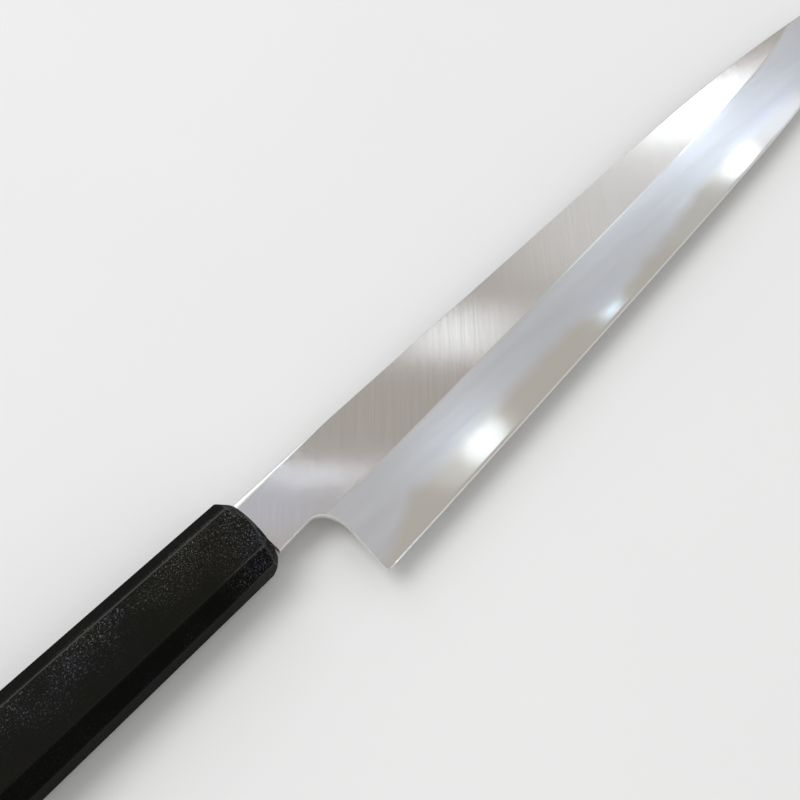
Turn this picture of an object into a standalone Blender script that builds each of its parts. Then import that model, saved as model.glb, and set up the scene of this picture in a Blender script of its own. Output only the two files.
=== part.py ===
"""A sujihiki slicing knife: a forged blade with a hidden tang, glued into an octagonal handle.

The knife is drawn in its own axes, in metres: X runs from the handle's front face towards the tip,
Y runs up towards the spine, whose straight part is at Y = 0, and Z comes out of the blade's right face.
An empty then lays the knife on the left flat of its handle, with its box centred over the origin.
"""

import math

import bmesh
import bpy
from mathutils import Vector

# Running gap between neighbouring pieces
CLEARANCE = 0.0003

# Blade outline
BLADE_LENGTH = 0.272
HEEL_HEIGHT = 0.036
TIP_DROP = 0.0074
SPINE_STRAIGHT = 0.150
SPINE_CURVE_POWER = 2.25
EDGE_SWEEP = 0.0101
EDGE_SWEEP_POWER = 1.13
BELLY_POWER = 11.5

# Neck, finger arch and the blade's front below it
NECK_LENGTH = 0.015
NECK_HEIGHT = 0.0157
SHOULDER_GAP = 0.0012
NECK_WAIST = 0.0005
ARCH_REACH = 0.0050
ARCH_DROP = 0.0077
CHOIL_LEAN = 0.0011

# Blade thickness and bevels
NECK_THICKNESS = 0.0026
TIP_THICKNESS = 0.0015
FACE_THINNING = 0.004
BEVEL_WIDTH = 0.0187
BEVEL_BULGE = 0.00006
EDGE_BEVEL_WIDTH = 0.0004
EDGE_BEVEL_THICKNESS = 0.00022

# Tang
TANG_LENGTH = 0.098
TANG_HEIGHT = 0.0084
TANG_END_HEIGHT = 0.0052
TANG_THICKNESS = 0.0024
TANG_END_THICKNESS = 0.0016
TANG_CORNER = 0.0004

# Handle
HANDLE_LENGTH = 0.142
FERRULE_LENGTH = 0.028
FRONT_HEIGHT = 0.01915
FRONT_WIDTH = 0.0173
HEIGHT_GROWTH = 0.0013
WIDTH_GROWTH = 0.0010
CORNER_HEIGHT = 0.0037
CORNER_WIDTH = 0.0041
HANDLE_SINK = 0.00025
FRONT_FACE_MARGIN = 0.0004
BUTT_FACE_INSET = 0.0006
LEAST_CHAMFER = 0.0003
CHAMFER_BLEND = 0.0010

# Joint inside the handle
BORE_RADIUS = 0.0055
FRONT_WALL = 0.006
BEDDING_TAIL = 0.006
DOWEL_ROOT = 0.008

# Mesh steps
ROUND_STEPS = 4
NECK_STEPS = 3
ARCH_STEPS = 7
CHOIL_STEPS = 4
EDGE_STEPS = 28
EDGE_CROWDING = 1.6
BEVEL_ROWS = 2
FACE_ROWS = 2
TANG_STEPS = 4
FACET_STEPS = 4
BORE_SIDES = 40
CREASE_MARGIN = 0.06
FAN_SPREAD = 0.8
EDGE_ROW_SHARES = (0.06, 0.16, 0.28)
SMALL_BEVEL_SHARE = 0.06
LEAST_SPREAD = 0.08
ROUND_SHARE = 0.3
BISECTIONS = 40
CUTTER_OVERRUN = 0.002

# Edges sharper than these angles, in degrees, stay crisp
BLADE_CREASE = 12
HANDLE_CREASE = 20
INNER_CREASE = 30

# Colour, roughness and metallic of each material
STEEL_LOOK = ((0.60, 0.59, 0.57), 0.30, 1.0)
LACQUER_LOOK = ((0.018, 0.018, 0.016), 0.45, 0.0)
DOWEL_LOOK = ((0.46, 0.33, 0.20), 0.70, 0.0)
RESIN_LOOK = ((0.55, 0.38, 0.14), 0.35, 0.0)
GUIDE_LOOK = ((0.80, 0.20, 0.10), 0.50, 0.0)

TIP_X = NECK_LENGTH + BLADE_LENGTH
HANDLE_CENTRE_Y = -NECK_HEIGHT / 2 - HANDLE_SINK
DOWEL_RADIUS = BORE_RADIUS - CLEARANCE
FORK_WIDTH = TANG_THICKNESS + 2 * CLEARANCE
FORK_ROOT_X = -(TANG_LENGTH + CLEARANCE + BEDDING_TAIL + CLEARANCE)
DOWEL_END_X = FORK_ROOT_X - DOWEL_ROOT
BORE_END_X = DOWEL_END_X - CLEARANCE


def mix(a, b, share):
    """The value that lies at a share of the way from a to b."""
    return a + (b - a) * share


def clamp(value, low, high):
    """The value, kept between low and high."""
    return max(low, min(high, value))


def spine_y(x):
    """Height of the spine: straight at first, then falling gently to the tip."""
    start = NECK_LENGTH + SPINE_STRAIGHT
    share = max(0.0, (x - start) / (TIP_X - start))
    return -TIP_DROP * share**SPINE_CURVE_POWER


def edge_y(x):
    """Height of the cutting edge: a long, nearly straight sweep, and a belly that turns up to the tip."""
    share = clamp((x - NECK_LENGTH) / BLADE_LENGTH, 0.0, 1.0)
    belly_rise = HEEL_HEIGHT - TIP_DROP - EDGE_SWEEP
    return -HEEL_HEIGHT + EDGE_SWEEP * share**EDGE_SWEEP_POWER + belly_rise * share**BELLY_POWER


def half_thickness(x, y):
    """Half the blade's thickness: a flat face from the spine to the ridge, then a bevel to the edge."""
    at_spine = mix(NECK_THICKNESS, TIP_THICKNESS, clamp(x / TIP_X, 0.0, 1.0)) / 2
    above_edge = y - edge_y(x)
    if above_edge >= BEVEL_WIDTH:
        return at_spine - FACE_THINNING * (spine_y(x) - y)
    at_ridge = at_spine - FACE_THINNING * (spine_y(x) - edge_y(x) - BEVEL_WIDTH)
    share = (above_edge - EDGE_BEVEL_WIDTH) / (BEVEL_WIDTH - EDGE_BEVEL_WIDTH)
    if share < 0:
        return max(0.0, EDGE_BEVEL_THICKNESS / 2 * above_edge / EDGE_BEVEL_WIDTH)
    bulge = 4 * BEVEL_BULGE * share * (1 - share)
    return mix(EDGE_BEVEL_THICKNESS / 2, at_ridge, share) + bulge


def rounded_rows(start, inward, reach, half):
    """Rows from an outline point inwards, over a rounded rim that ends at the full half thickness."""
    rows = []
    for step in range(ROUND_STEPS + 1):
        angle = math.pi / 2 * step / ROUND_STEPS
        depth = reach * (1 - math.cos(angle))
        point = start + inward * depth
        rows.append(Vector((point.x, point.y, half * math.sin(angle))))
    return rows


def edge_rows(lower, direction, length):
    """Rows from the sharp edge inwards: the edge, its small bevel, and rows on the wide bevel.

    The rows lie close together at the heel, where they follow the rounded rim of the choil.
    """
    small = min(EDGE_BEVEL_WIDTH, length * SMALL_BEVEL_SHARE)
    spread = clamp((lower.x - NECK_LENGTH) / BEVEL_WIDTH, LEAST_SPREAD, 1.0)
    wide = min(BEVEL_WIDTH, length) * spread
    depths = [0.0, small] + [small + wide * share for share in EDGE_ROW_SHARES]
    rows = []
    for depth in depths:
        point = lower + direction * depth
        rows.append(Vector((point.x, point.y, half_thickness(point.x, point.y))))
    rows[0].z = 0.0
    return rows


def crease_share(low, high):
    """Share of the way from low to high at which a rib crosses the ridge between bevel and face."""
    below, above = 0.0, 1.0
    for _ in range(BISECTIONS):
        middle = (below + above) / 2
        point = low.lerp(high, middle)
        if point.y - edge_y(point.x) < BEVEL_WIDTH:
            below = middle
        else:
            above = middle
    return clamp(above, CREASE_MARGIN, 1 - CREASE_MARGIN)


def blade_rib(upper_x, lower, inward):
    """One cross-section of the blade, as rows from the spine down; inward is None on the sharp edge."""
    upper = Vector((upper_x, spine_y(upper_x)))
    across = upper - lower
    direction = across.normalized()
    spine_half = half_thickness(upper.x, upper.y)
    reach = min(spine_half, ROUND_SHARE * across.length)
    down = Vector((0, -1))
    top_rows = rounded_rows(upper, down, reach, half_thickness(upper.x, upper.y - reach))
    if inward is None:
        low_rows = edge_rows(lower, direction, across.length)
    else:
        inner_half = half_thickness(lower.x, lower.y)
        inner = lower + inward * inner_half
        low_rows = rounded_rows(lower, inward, inner_half, half_thickness(inner.x, inner.y))
    high = top_rows[-1].to_2d()
    low = low_rows[-1].to_2d()
    crease = crease_share(low, high)
    shares = [mix(1.0, crease, step / FACE_ROWS) for step in range(1, FACE_ROWS + 1)]
    shares += [mix(crease, 0.0, step / BEVEL_ROWS) for step in range(1, BEVEL_ROWS)]
    middle_rows = []
    for share in shares:
        point = low.lerp(high, share)
        middle_rows.append(Vector((point.x, point.y, half_thickness(point.x, point.y))))
    return top_rows + middle_rows + low_rows[::-1]


def tang_rib(x):
    """One cross-section of the tang, with as many rows as the blade's sections."""
    share = clamp(-x / TANG_LENGTH, 0.0, 1.0)
    half_height = mix(TANG_HEIGHT, TANG_END_HEIGHT, share) / 2
    half = mix(TANG_THICKNESS, TANG_END_THICKNESS, share) / 2
    top = Vector((x, HANDLE_CENTRE_Y + half_height))
    bottom = Vector((x, HANDLE_CENTRE_Y - half_height))
    top_rows = rounded_rows(top, Vector((0, -1)), TANG_CORNER, half)
    low_rows = rounded_rows(bottom, Vector((0, 1)), TANG_CORNER, half)
    count = FACE_ROWS + BEVEL_ROWS
    middle_rows = [top_rows[-1].lerp(low_rows[-1], step / count) for step in range(1, count)]
    return top_rows + middle_rows + low_rows[::-1]


def finger_arch():
    """Lower outline from the neck's end to just above the heel, as (point, direction into the steel)."""
    waist_y = -NECK_HEIGHT + NECK_WAIST
    centre = Vector((NECK_LENGTH + CHOIL_LEAN - ARCH_REACH, waist_y - ARCH_DROP))
    outline = []
    for step in range(ARCH_STEPS + 1):
        angle = math.pi / 2 * (1 - step / ARCH_STEPS)
        point = centre + Vector((ARCH_REACH * math.cos(angle), ARCH_DROP * math.sin(angle)))
        inward = Vector((math.cos(angle) / ARCH_REACH, math.sin(angle) / ARCH_DROP)).normalized()
        outline.append((point, inward))
    arch_end = outline[-1][0]
    heel = Vector((NECK_LENGTH, -HEEL_HEIGHT))
    run = (heel - arch_end).normalized()
    tipward = Vector((-run.y, run.x))
    for step in range(1, CHOIL_STEPS):
        outline.append((arch_end.lerp(heel, step / CHOIL_STEPS), tipward))
    return outline


def blade_sections():
    """Cross-sections of the whole blade, from the tang's end to the last one before the tip."""
    sections = []
    for step in range(TANG_STEPS + 1):
        sections.append(tang_rib(mix(-TANG_LENGTH, SHOULDER_GAP, step / TANG_STEPS)))
    arch = finger_arch()
    arch_start = arch[0][0]
    up = Vector((0, 1))
    for step in range(NECK_STEPS):
        share = step / NECK_STEPS
        x = mix(SHOULDER_GAP, arch_start.x, share)
        sections.append(blade_rib(x, Vector((x, mix(-NECK_HEIGHT, arch_start.y, share))), up))
    fan_end_x = NECK_LENGTH + FAN_SPREAD * HEEL_HEIGHT
    for index, (point, inward) in enumerate(arch):
        upper_x = mix(arch_start.x, fan_end_x, index / len(arch))
        sections.append(blade_rib(upper_x, point, inward))
    for step in range(EDGE_STEPS):
        share = 1 - (1 - step / EDGE_STEPS) ** EDGE_CROWDING
        x = mix(NECK_LENGTH, TIP_X, share)
        sections.append(blade_rib(mix(fan_end_x, TIP_X, share), Vector((x, edge_y(x))), None))
    return sections


def closed_loop(rows):
    """The right face's rows and their mirror image on the left face, as one loop of points."""
    mirrored = [Vector((row.x, row.y, -row.z)) for row in rows[-2:0:-1]]
    return list(rows) + mirrored


def bridge(mesh, first, second):
    """Faces between two loops that have the same number of points."""
    count = len(first)
    for index in range(count):
        following = (index + 1) % count
        mesh.faces.new((first[index], first[following], second[following], second[index]))


def finish_object(name, mesh, material, parent, smooth_angle):
    """Turns a bmesh into a named object under the knife's empty."""
    bmesh.ops.recalc_face_normals(mesh, faces=mesh.faces)
    if mesh.calc_volume(signed=True) < 0:
        bmesh.ops.reverse_faces(mesh, faces=mesh.faces)
    data = bpy.data.meshes.new(name)
    mesh.to_mesh(data)
    mesh.free()
    data.shade_smooth()
    data.set_sharp_from_angle(angle=math.radians(smooth_angle))
    data.materials.append(material)
    body = bpy.data.objects.new(name, data)
    bpy.context.scene.collection.objects.link(body)
    body.parent = parent
    return body


def make_blade(parent, material):
    """The forged blade: tang, shoulders, neck, finger arch, wide bevels and tip in one piece of steel."""
    mesh = bmesh.new()
    loops = []
    for rows in blade_sections():
        loops.append([mesh.verts.new(point) for point in closed_loop(rows)])
    for first, second in zip(loops, loops[1:]):
        bridge(mesh, first, second)
    mesh.faces.new(loops[0])
    tip = mesh.verts.new((TIP_X, -TIP_DROP, 0))
    last = loops[-1]
    for index, vertex in enumerate(last):
        mesh.faces.new((vertex, last[(index + 1) % len(last)], tip))
    return finish_object("blade", mesh, material, parent, BLADE_CREASE)


def octagon(x):
    """Points round the handle's octagon at x, as (y, z) from its centre, with the facets subdivided."""
    share = -x / HANDLE_LENGTH
    half_height = (FRONT_HEIGHT + HEIGHT_GROWTH * share) / 2
    half_width = (FRONT_WIDTH + WIDTH_GROWTH * share) / 2
    flat_y = half_height - CORNER_HEIGHT
    side_z = half_width - CORNER_WIDTH
    quarter = [Vector((half_height, side_z)), Vector((flat_y, half_width))]
    corners = quarter + [Vector((-p.x, p.y)) for p in quarter[::-1]]
    corners += [-p for p in corners]
    points = []
    for index, corner in enumerate(corners):
        following = corners[(index + 1) % len(corners)]
        points += [corner.lerp(following, step / FACET_STEPS) for step in range(FACET_STEPS)]
    return points


def handle_rings(start_x, end_x, front_radius=None, butt_radius=None):
    """Rings of a stretch of the handle; a radius adds a face of that size with a turned chamfer."""
    rings = []
    if front_radius is not None:
        rings += chamfer_rings(start_x, front_radius, -1)
        start_x -= max(start_x - point.x for point in rings[-1]) + CHAMFER_BLEND
    last_rings = []
    if butt_radius is not None:
        last_rings = chamfer_rings(end_x, butt_radius, 1)[::-1]
        end_x += max(point.x - end_x for point in last_rings[0]) + CHAMFER_BLEND
    for x in (start_x, end_x):
        rings.append([Vector((x, HANDLE_CENTRE_Y + p.x, p.y)) for p in octagon(x)])
    return rings + last_rings


def chamfer_rings(face_x, radius, side):
    """A round face at face_x, and the ring where its 45 degree cone leaves the octagon."""
    face_ring = []
    cone_ring = []
    for index, point in enumerate(octagon(face_x)):
        inner = min(radius, point.length - LEAST_CHAMFER)
        rim = point.normalized() * inner
        face_ring.append(Vector((face_x, HANDLE_CENTRE_Y + rim.x, rim.y)))
        x = face_x + side * (point.length - inner)
        outer = octagon(x)[index]
        cone_ring.append(Vector((x, HANDLE_CENTRE_Y + outer.x, outer.y)))
    return [face_ring, cone_ring]


def solid_from_rings(rings):
    """A closed bmesh lofted through rings, with flat ends."""
    mesh = bmesh.new()
    loops = [[mesh.verts.new(point) for point in ring] for ring in rings]
    for first, second in zip(loops, loops[1:]):
        bridge(mesh, first, second)
    mesh.faces.new(loops[0])
    mesh.faces.new(loops[-1])
    return mesh


def make_cylinder(name, start_x, end_x, radius, parent, material):
    """A round bar along the handle's axis, from start_x back to end_x."""
    mesh = bmesh.new()
    bmesh.ops.create_cone(
        mesh,
        cap_ends=True,
        segments=BORE_SIDES,
        radius1=radius,
        radius2=radius,
        depth=start_x - end_x,
    )
    for vertex in mesh.verts:
        x = (start_x + end_x) / 2 + vertex.co.z
        vertex.co = Vector((x, HANDLE_CENTRE_Y + vertex.co.y, vertex.co.x))
    return finish_object(name, mesh, material, parent, INNER_CREASE)


def make_slot(name, start_x, end_x, height, parent):
    """A bar along the handle's axis that cuts a slot as wide as the tang needs."""
    mesh = bmesh.new()
    bmesh.ops.create_cube(mesh, size=1.0)
    for vertex in mesh.verts:
        x = (start_x + end_x) / 2 + vertex.co.x * (start_x - end_x)
        vertex.co = Vector((x, HANDLE_CENTRE_Y + vertex.co.y * height, vertex.co.z * FORK_WIDTH))
    return finish_object(name, mesh, plain_material("guide", GUIDE_LOOK), parent, INNER_CREASE)


def cut(body, cutter):
    """Cuts one shape out of another, and keeps the cutter as a hidden guide."""
    modifier = body.modifiers.new("cut_" + cutter.name, "BOOLEAN")
    modifier.operation = "DIFFERENCE"
    modifier.solver = "EXACT"
    modifier.object = cutter
    cutter.hide_render = True
    cutter.display_type = "WIRE"


def make_ferrule(parent, material):
    """The handle's front block: a slot for the tang in its front wall, and a bore for the dowel."""
    front_radius = NECK_HEIGHT / 2 + FRONT_FACE_MARGIN
    rings = handle_rings(0.0, -FERRULE_LENGTH, front_radius=front_radius)
    body = finish_object("ferrule", solid_from_rings(rings), material, parent, HANDLE_CREASE)
    bore_end = -FERRULE_LENGTH - CUTTER_OVERRUN
    guide = plain_material("guide", GUIDE_LOOK)
    cut(body, make_cylinder("ferrule_bore", -FRONT_WALL, bore_end, BORE_RADIUS, parent, guide))
    slot_height = TANG_HEIGHT + 2 * CLEARANCE
    slot_end = -FRONT_WALL - CUTTER_OVERRUN
    cut(body, make_slot("tang_slot", CUTTER_OVERRUN, slot_end, slot_height, parent))
    return body


def make_grip(parent, material):
    """The long rear part of the handle, with a blind bore for the dowel."""
    butt_radius = (FRONT_WIDTH + WIDTH_GROWTH) / 2 - BUTT_FACE_INSET
    front_x = -FERRULE_LENGTH - CLEARANCE
    rings = handle_rings(front_x, -HANDLE_LENGTH, butt_radius=butt_radius)
    body = finish_object("grip", solid_from_rings(rings), material, parent, HANDLE_CREASE)
    guide = plain_material("guide", GUIDE_LOOK)
    bore_start = front_x + CUTTER_OVERRUN
    cut(body, make_cylinder("grip_bore", bore_start, BORE_END_X, BORE_RADIUS, parent, guide))
    return body


def make_dowel(parent, material):
    """The round dowel that joins ferrule and grip, forked by a saw cut that takes the tang."""
    front_x = -FRONT_WALL - CLEARANCE
    body = make_cylinder("dowel", front_x, DOWEL_END_X, DOWEL_RADIUS, parent, material)
    fork_height = 2 * BORE_RADIUS + CUTTER_OVERRUN
    fork_start = front_x + CUTTER_OVERRUN
    cut(body, make_slot("dowel_fork", fork_start, FORK_ROOT_X, fork_height, parent))
    return body


def make_tang_bedding(parent, material):
    """The resin that fills the dowel's fork above, below and behind the tang, as a forked plate."""
    half_thick = FORK_WIDTH / 2 - CLEARANCE
    half_height = math.sqrt(BORE_RADIUS**2 - half_thick**2) - CLEARANCE
    front_x = -FRONT_WALL - CLEARANCE
    back_x = FORK_ROOT_X + CLEARANCE
    tail_x = -TANG_LENGTH - CLEARANCE
    front_share = -front_x / TANG_LENGTH
    mouth = mix(TANG_HEIGHT, TANG_END_HEIGHT, front_share) / 2 + CLEARANCE
    tail = TANG_END_HEIGHT / 2 + CLEARANCE
    outline = [(front_x, half_height), (back_x, half_height), (back_x, -half_height)]
    outline += [(front_x, -half_height), (front_x, -mouth), (tail_x, -tail)]
    outline += [(tail_x, tail), (front_x, mouth)]
    mesh = bmesh.new()
    loops = []
    for z in (-half_thick, half_thick):
        loops.append([mesh.verts.new((x, HANDLE_CENTRE_Y + y, z)) for x, y in outline])
    bridge(mesh, loops[0], loops[1])
    mesh.faces.new(loops[0])
    mesh.faces.new(loops[1])
    return finish_object("tang_bedding", mesh, material, parent, INNER_CREASE)


def plain_material(name, look):
    """A Principled material from (colour, roughness, metallic), or the one made before under that name."""
    found = bpy.data.materials.get(name)
    if found is not None:
        return found
    colour, roughness, metallic = look
    material = bpy.data.materials.new(name)
    material.use_nodes = True
    shader = material.node_tree.nodes["Principled BSDF"]
    shader.inputs["Base Color"].default_value = (*colour, 1.0)
    shader.inputs["Roughness"].default_value = roughness
    shader.inputs["Metallic"].default_value = metallic
    return material


def knife_empty():
    """The empty that lays the knife on the left flat of its handle, centred over the origin."""
    empty = bpy.data.objects.new("knife", None)
    bpy.context.scene.collection.objects.link(empty)
    lean = math.atan(WIDTH_GROWTH / 2 / HANDLE_LENGTH)
    top_y = HANDLE_CENTRE_Y + (FRONT_HEIGHT + HEIGHT_GROWTH) / 2
    middle_x = (TIP_X - HANDLE_LENGTH) / 2
    middle_y = (top_y - HEEL_HEIGHT) / 2
    lift = FRONT_WIDTH / 2 * math.cos(lean)
    empty.location = (-middle_x, -middle_y, lift)
    empty.rotation_euler = (0, lean, 0)
    return empty


def build_knife():
    """Clears the scene and makes every piece of the knife."""
    for old in list(bpy.data.objects):
        bpy.data.objects.remove(old)
    knife = knife_empty()
    make_blade(knife, plain_material("blade_steel", STEEL_LOOK))
    make_ferrule(knife, plain_material("ferrule_lacquer", LACQUER_LOOK))
    make_grip(knife, plain_material("grip_lacquer", LACQUER_LOOK))
    make_dowel(knife, plain_material("dowel_wood", DOWEL_LOOK))
    make_tang_bedding(knife, plain_material("bedding_resin", RESIN_LOOK))


build_knife()
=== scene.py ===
# %% [markdown]
# # A sujihiki knife in a plain studio
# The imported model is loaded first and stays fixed. It gives every piece its place and its size, and each
# finer piece below stands exactly where its plain solid is. Sizes are in metres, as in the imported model.

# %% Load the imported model
import math

import bmesh
import bpy
from mathutils import Matrix, Vector


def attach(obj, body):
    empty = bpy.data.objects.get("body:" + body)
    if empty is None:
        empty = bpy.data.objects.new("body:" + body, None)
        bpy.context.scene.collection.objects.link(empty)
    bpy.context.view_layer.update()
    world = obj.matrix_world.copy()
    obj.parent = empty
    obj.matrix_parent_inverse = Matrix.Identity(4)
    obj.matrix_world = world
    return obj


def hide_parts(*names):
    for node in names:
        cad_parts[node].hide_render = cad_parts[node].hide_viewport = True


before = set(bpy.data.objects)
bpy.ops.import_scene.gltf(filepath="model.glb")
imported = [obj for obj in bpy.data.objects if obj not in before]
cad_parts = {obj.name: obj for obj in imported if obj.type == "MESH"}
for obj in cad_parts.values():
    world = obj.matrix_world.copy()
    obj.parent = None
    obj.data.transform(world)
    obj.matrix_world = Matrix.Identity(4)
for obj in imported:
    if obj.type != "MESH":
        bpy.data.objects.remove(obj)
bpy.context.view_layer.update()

print("packed pieces:", sorted(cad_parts))

# %% [markdown]
# ## The camera
# The photograph looks down on the knife from above the handle, with the blade running away to the upper
# right. A camera is easiest to match by its real place and angles: these put the spine, the ridge, the
# edge, the finger arch and the handle's front where the photograph has them. The lens is a normal one.

# %% Camera
CAMERA_PLACE = (-0.1171, -0.0403, 0.2040)
CAMERA_ANGLES = (27.33, -7.87, -47.76)
LENS = 40.5

camera_data = bpy.data.cameras.new("studio_camera")
camera_data.lens = LENS
camera_data.clip_start = 0.01
camera = bpy.data.objects.new("studio_camera", camera_data)
camera.location = CAMERA_PLACE
camera.rotation_euler = [math.radians(angle) for angle in CAMERA_ANGLES]
bpy.context.scene.collection.objects.link(camera)
bpy.context.scene.camera = camera
bpy.context.scene.view_settings.view_transform = "Standard"
print("camera:", CAMERA_PLACE, "metres, lens", LENS, "mm")

# %% [markdown]
# ## Small helpers for shader nodes
# A material is a graph of nodes. A few helpers keep the graphs readable. They add a node with its settings,
# fill a socket from another node or with a plain value, and give back the result's socket, so that a graph
# reads like a calculation. A node group is one effect that several materials share with their own values.

# %% Shader helpers


def add_node(tree, kind, values=None, **settings):
    """A node with some settings, and with some input sockets set to plain values."""
    node = tree.nodes.new(kind)
    for name, value in settings.items():
        setattr(node, name, value)
    for name, value in (values or {}).items():
        node.inputs[name].default_value = value
    return node


def chain(tree, *steps):
    """Links sockets in pairs: each step is (from socket, to socket)."""
    for source, target in steps:
        tree.links.new(source, target)


def new_group(name, inputs, output):
    """A shader node group with named number inputs, each with its default, and one number as output."""
    group = bpy.data.node_groups.new(name, "ShaderNodeTree")
    for socket_name, value in inputs.items():
        socket = group.interface.new_socket(name=socket_name, in_out="INPUT", socket_type="NodeSocketFloat")
        socket.default_value = value
    group.interface.new_socket(name=output, in_out="OUTPUT", socket_type="NodeSocketFloat")
    entry = group.nodes.new("NodeGroupInput")
    leave = group.nodes.new("NodeGroupOutput")
    return group, entry, leave


def use_group(tree, group, **values):
    """Places a node group in a material with its own values, and gives its one output."""
    node = tree.nodes.new("ShaderNodeGroup")
    node.node_tree = group
    for socket_name, value in values.items():
        node.inputs[socket_name.replace("_", " ")].default_value = value
    return node.outputs[0]


def new_material(name, **values):
    """A material with its Principled shader, whose plain sockets are set by name."""
    material = bpy.data.materials.new(name)
    material.use_nodes = True
    shader = material.node_tree.nodes["Principled BSDF"]
    for socket_name, value in values.items():
        shader.inputs[socket_name.replace("_", " ")].default_value = value
    return material, material.node_tree, shader


def feed(tree, value, socket):
    """Fills an input socket: links another node's socket, or sets a plain value."""
    if isinstance(value, bpy.types.NodeSocket):
        tree.links.new(value, socket)
    else:
        socket.default_value = value


def mix_values(tree, factor, low, high, kind="RGBA"):
    """A colour between two, or a number with the kind FLOAT; each may be a socket or plain."""
    node = add_node(tree, "ShaderNodeMix", data_type=kind)
    for name, value in (("Factor", factor), ("A", low), ("B", high)):
        feed(tree, (*value, 1.0) if isinstance(value, tuple) else value, node.inputs[name])
    return node.outputs["Result"]


def map_value(tree, value, low, high, from_low=0.0, from_high=1.0, keep_inside=True):
    """A value moved from one range into another, and kept inside it unless told otherwise."""
    limits = {"From Min": from_low, "From Max": from_high, "To Min": low, "To Max": high}
    node = add_node(tree, "ShaderNodeMapRange", limits, clamp=keep_inside)
    feed(tree, value, node.inputs["Value"])
    return node.outputs["Result"]


def calculate(tree, operation, first, second=0.0):
    """One step of arithmetic; each value may be a socket or a plain number."""
    node = add_node(tree, "ShaderNodeMath", operation=operation)
    feed(tree, first, node.inputs[0])
    feed(tree, second, node.inputs[1])
    return node.outputs[0]


def add_bump(tree, shader, height, strength, distance):
    """Feeds a height through a Bump node into the shader's normal."""
    bump = add_node(tree, "ShaderNodeBump", {"Strength": strength, "Distance": distance})
    chain(tree, (height, bump.inputs["Height"]), (bump.outputs["Normal"], shader.inputs["Normal"]))
    return bump.outputs["Normal"]


print("shader helpers ready")

# %% [markdown]
# ## Shared effects
# Two effects make up every finish here. Brush lines are noise that is drawn out along one direction, as an
# abrasive leaves it. Patches are noise between two limits: broad and soft they are a stone's haze or uneven
# lacquer, tiny and hard they are specks. As groups they are built once and placed with their own values.

# %% Effect: brush lines
brush_lines, entry, leave = new_group(
    "brush_lines",
    {"Angle": 0.0, "Lines Per Metre": 4000.0, "Stretch": 60.0, "Seed": 0.0},
    "Lines",
)
place = add_node(brush_lines, "ShaderNodeTexCoord")
turn = add_node(brush_lines, "ShaderNodeVectorRotate", rotation_type="Z_AXIS")
across = add_node(brush_lines, "ShaderNodeMath", operation="DIVIDE")
scale = add_node(brush_lines, "ShaderNodeCombineXYZ")
stretch = add_node(brush_lines, "ShaderNodeVectorMath", operation="MULTIPLY")
noise = add_node(brush_lines, "ShaderNodeTexNoise", {"Scale": 1.0, "Detail": 3.0}, noise_dimensions="4D")
contrast = add_node(brush_lines, "ShaderNodeMapRange", {"From Min": 0.3, "From Max": 0.7})
chain(
    brush_lines,
    (place.outputs["Object"], turn.inputs["Vector"]),
    (entry.outputs["Angle"], turn.inputs["Angle"]),
    (entry.outputs["Lines Per Metre"], across.inputs[0]),
    (entry.outputs["Stretch"], across.inputs[1]),
    (across.outputs[0], scale.inputs["X"]),
    (entry.outputs["Lines Per Metre"], scale.inputs["Y"]),
    (across.outputs[0], scale.inputs["Z"]),
    (turn.outputs["Vector"], stretch.inputs[0]),
    (scale.outputs["Vector"], stretch.inputs[1]),
    (stretch.outputs["Vector"], noise.inputs["Vector"]),
    (entry.outputs["Seed"], noise.inputs["W"]),
    (noise.outputs["Fac"], contrast.inputs["Value"]),
    (contrast.outputs["Result"], leave.inputs["Lines"]),
)
print("effect:", brush_lines.name)

# %% Effect: patches
patches, entry, leave = new_group(
    "patches",
    {"Scale": 40.0, "Low": 0.35, "High": 0.65, "Seed": 0.0},
    "Mask",
)
place = add_node(patches, "ShaderNodeTexCoord")
noise = add_node(patches, "ShaderNodeTexNoise", {"Detail": 4.0}, noise_dimensions="4D")
limits = add_node(patches, "ShaderNodeMapRange", interpolation_type="SMOOTHSTEP")
chain(
    patches,
    (place.outputs["Object"], noise.inputs["Vector"]),
    (entry.outputs["Scale"], noise.inputs["Scale"]),
    (entry.outputs["Seed"], noise.inputs["W"]),
    (noise.outputs["Fac"], limits.inputs["Value"]),
    (entry.outputs["Low"], limits.inputs["From Min"]),
    (entry.outputs["High"], limits.inputs["From Max"]),
    (limits.outputs["Result"], leave.inputs["Mask"]),
)
print("effect:", patches.name)

# %% [markdown]
# ## The studio
# A plain pale floor lies under the handle. The room is an even dome of soft light, a little warm. One broad
# lamp, high up on the spine's side, gives the shadow on the floor.

# %% Floor
FLOOR_SIZE = 4.0
FLOOR_TONES = ((0.80, 0.80, 0.79), (0.78, 0.78, 0.775))

bpy.ops.mesh.primitive_plane_add(size=FLOOR_SIZE, location=(0.0, 0.0, 0.0))
floor = bpy.context.object
floor.name = "studio_floor"
floor_paint, tree, shader = new_material("floor_paint", Roughness=0.9, Specular_IOR_Level=0.1)
mottle = use_group(tree, patches, Scale=6.0, Low=0.2, High=0.8)
feed(tree, mix_values(tree, mottle, *FLOOR_TONES), shader.inputs["Base Color"])
floor.data.materials.append(floor_paint)
print("floor:", FLOOR_SIZE, "metres square")

# %% Room light
ROOM_LEVEL = 0.67
ROOM_TINT = (1.0, 0.99, 0.975)

room = bpy.data.worlds.new("studio_room")
bpy.context.scene.world = room
room.use_nodes = True
background = room.node_tree.nodes["Background"]
background.inputs["Color"].default_value = (*ROOM_TINT, 1.0)
background.inputs["Strength"].default_value = ROOM_LEVEL
print("room level:", ROOM_LEVEL)

# %% Broad lamp
KEY_PLACE = Vector((-0.7, 1.0, 2.1))
KEY_SIZE = 1.3
KEY_POWER = 22.0


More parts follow.
